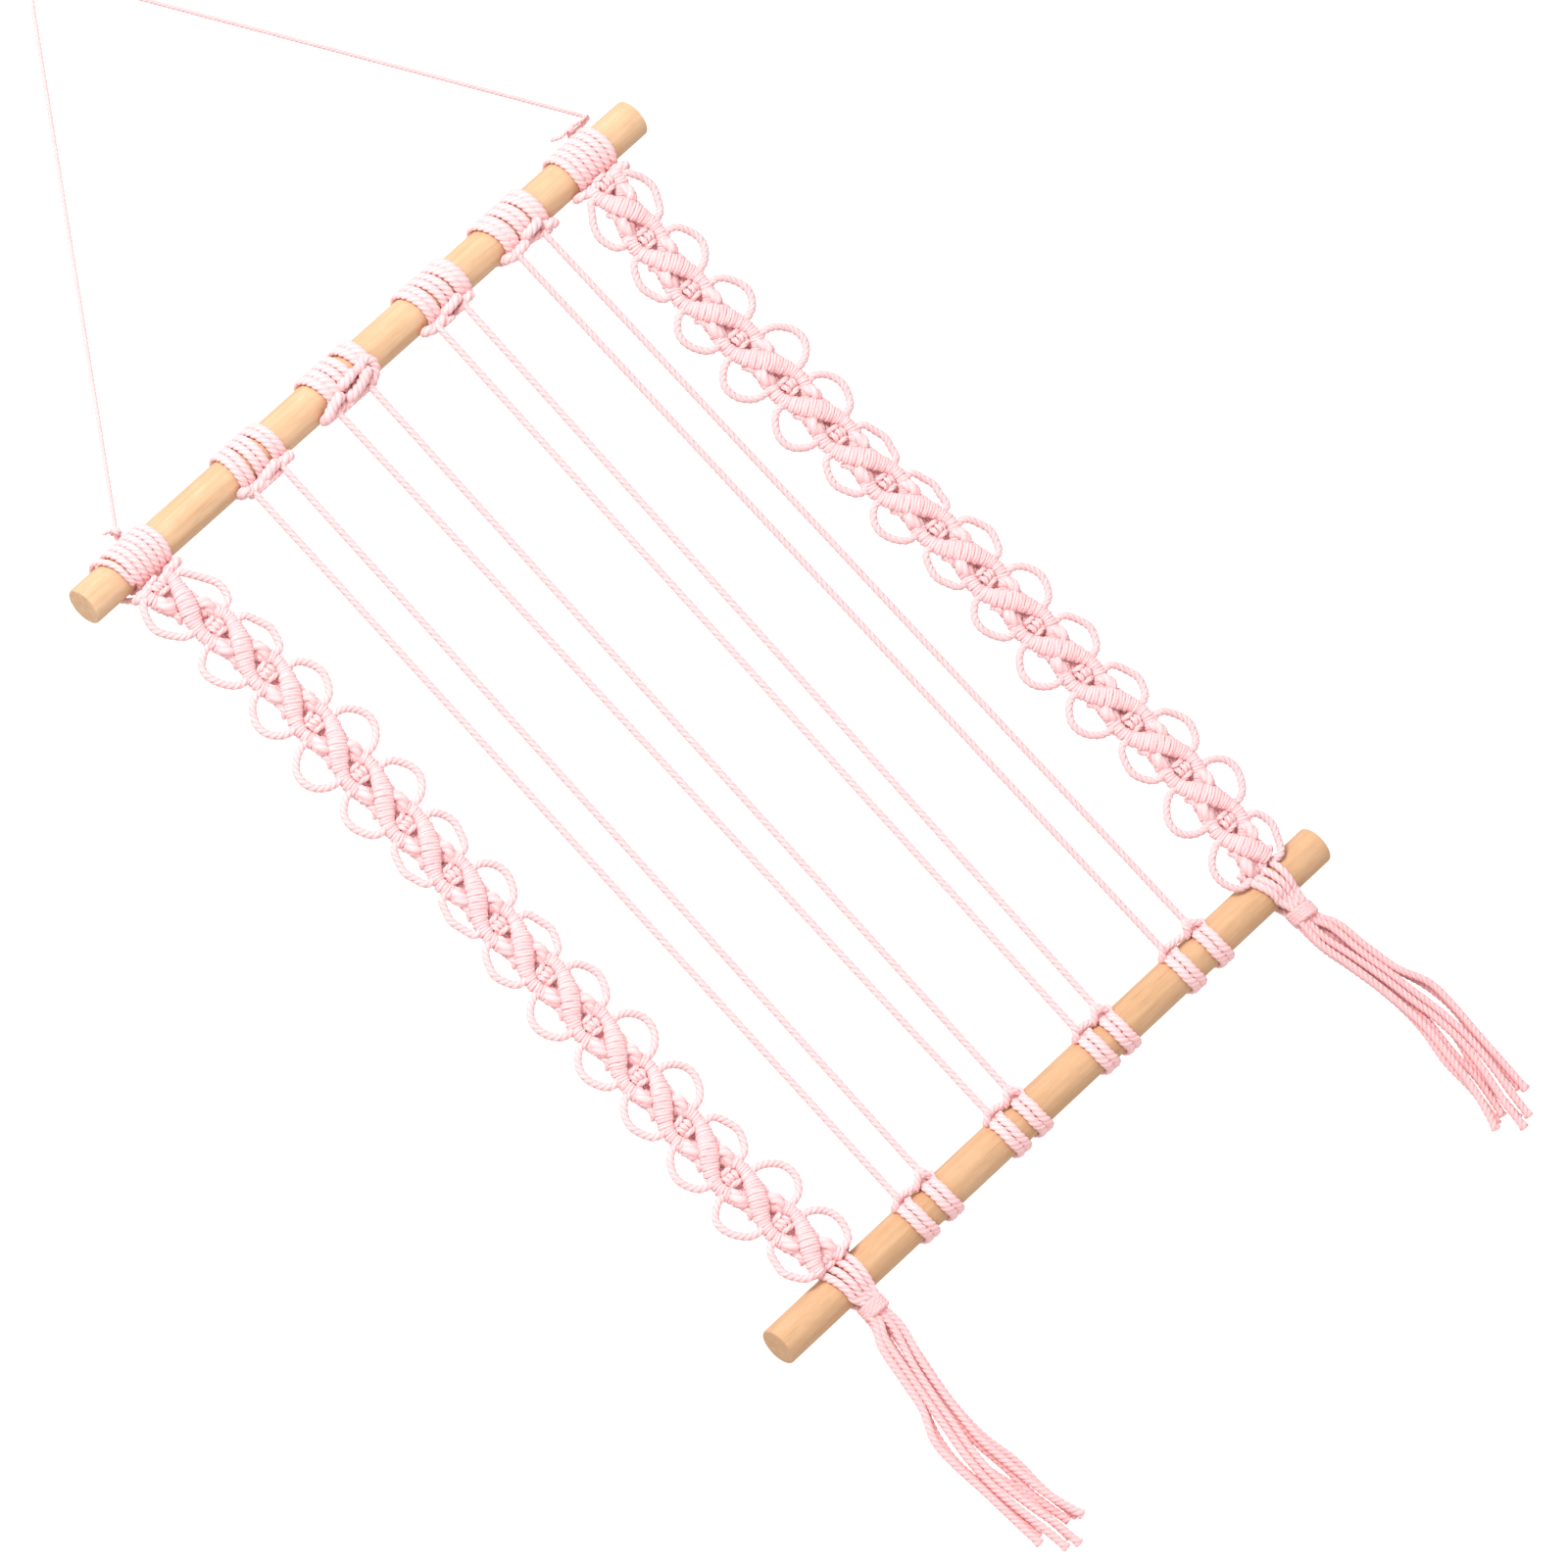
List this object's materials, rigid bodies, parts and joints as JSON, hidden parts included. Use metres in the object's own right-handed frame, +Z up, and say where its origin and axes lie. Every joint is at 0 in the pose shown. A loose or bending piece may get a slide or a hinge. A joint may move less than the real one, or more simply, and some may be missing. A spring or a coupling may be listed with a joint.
{
  "type": "macrame wall hanging frame",
  "caption": "Two round wooden dowels joined by knotted rope bands and straight warp cords, hung from a cord, with a tassel of loose strands under each band.",
  "frame": {"origin": "the point under the top of the hanging cord, where it rests on a nail", "axes": "+Z up, the front with the warp cords faces -Y, +X to the right along the dowels"},
  "size_m": [0.3, 0.021, 0.6978],
  "materials": {
    "wood": "plain sanded beech",
    "rope": "soft twisted cotton"
  },
  "bodies": {
    "hanger": {"top_dowel": "wood", "hanging_cord": "rope", "hanging_cord_left_knot": "rope", "hanging_cord_right_knot": "rope", "hanging_cord_right_tail": "rope"},
    "curtain": {"bottom_dowel": "wood", "warp_cord_1_head_hitch": "rope", "warp_cord_1_left_strand": "rope", "warp_cord_1_right_strand": "rope", "warp_cord_1_left_foot_hitch": "rope", "warp_cord_1_right_foot_hitch": "rope", "warp_cord_1_foot_link": "rope", "warp_cord_2_head_hitch": "rope", "warp_cord_2_left_strand": "rope", "warp_cord_2_right_strand": "rope", "warp_cord_2_left_foot_hitch": "rope", "warp_cord_2_right_foot_hitch": "rope", "warp_cord_2_foot_link": "rope", "warp_cord_3_head_hitch": "rope", "warp_cord_3_left_strand": "rope", "warp_cord_3_right_strand": "rope", "warp_cord_3_left_foot_hitch": "rope", "warp_cord_3_right_foot_hitch": "rope", "warp_cord_3_foot_link": "rope", "warp_cord_4_head_hitch": "rope", "warp_cord_4_left_strand": "rope", "warp_cord_4_right_strand": "rope", "warp_cord_4_left_foot_hitch": "rope", "warp_cord_4_right_foot_hitch": "rope", "warp_cord_4_foot_link": "rope", "left_band_mount": "rope", "left_band_braid": "rope", "left_band_front_strands": "rope", "left_band_back_strands": "rope", "right_band_mount": "rope", "right_band_braid": "rope", "right_band_front_strands": "rope", "right_band_back_strands": "rope"},
    "left_knot": {"left_gathering_knot": "rope"},
    "left_tassel": {"left_tassel_strand_1": "rope", "left_tassel_strand_2": "rope", "left_tassel_strand_3": "rope", "left_tassel_strand_4": "rope", "left_tassel_strand_5": "rope", "left_tassel_strand_6": "rope", "left_tassel_strand_7": "rope", "left_tassel_strand_8": "rope"},
    "right_knot": {"right_gathering_knot": "rope"},
    "right_tassel": {"right_tassel_strand_1": "rope", "right_tassel_strand_2": "rope", "right_tassel_strand_3": "rope", "right_tassel_strand_4": "rope", "right_tassel_strand_5": "rope", "right_tassel_strand_6": "rope", "right_tassel_strand_7": "rope", "right_tassel_strand_8": "rope"}
  },
  "joints": [
    {"name": "curtain_swing", "type": "hinge", "parent": "hanger", "child": "curtain", "pos_m": [-0.01, 0, -0.19], "axis": [-1, 0, 0], "range_deg": [0, 90]},
    {"name": "left_tassel_sway", "type": "hinge", "parent": "curtain", "child": "left_knot", "pos_m": [-0.1235, -0.003, -0.5778], "axis": [0, -1, 0], "range_deg": [-20, 20]},
    {"name": "left_tassel_swing", "type": "hinge", "parent": "left_knot", "child": "left_tassel", "pos_m": [-0.1235, -0.003, -0.5778], "axis": [-1, 0, 0], "range_deg": [-90, 90]},
    {"name": "right_tassel_sway", "type": "hinge", "parent": "curtain", "child": "right_knot", "pos_m": [0.1145, -0.003, -0.5798], "axis": [0, -1, 0], "range_deg": [-20, 20]},
    {"name": "right_tassel_swing", "type": "hinge", "parent": "right_knot", "child": "right_tassel", "pos_m": [0.1145, -0.003, -0.5798], "axis": [-1, 0, 0], "range_deg": [-90, 90]}
  ]
}
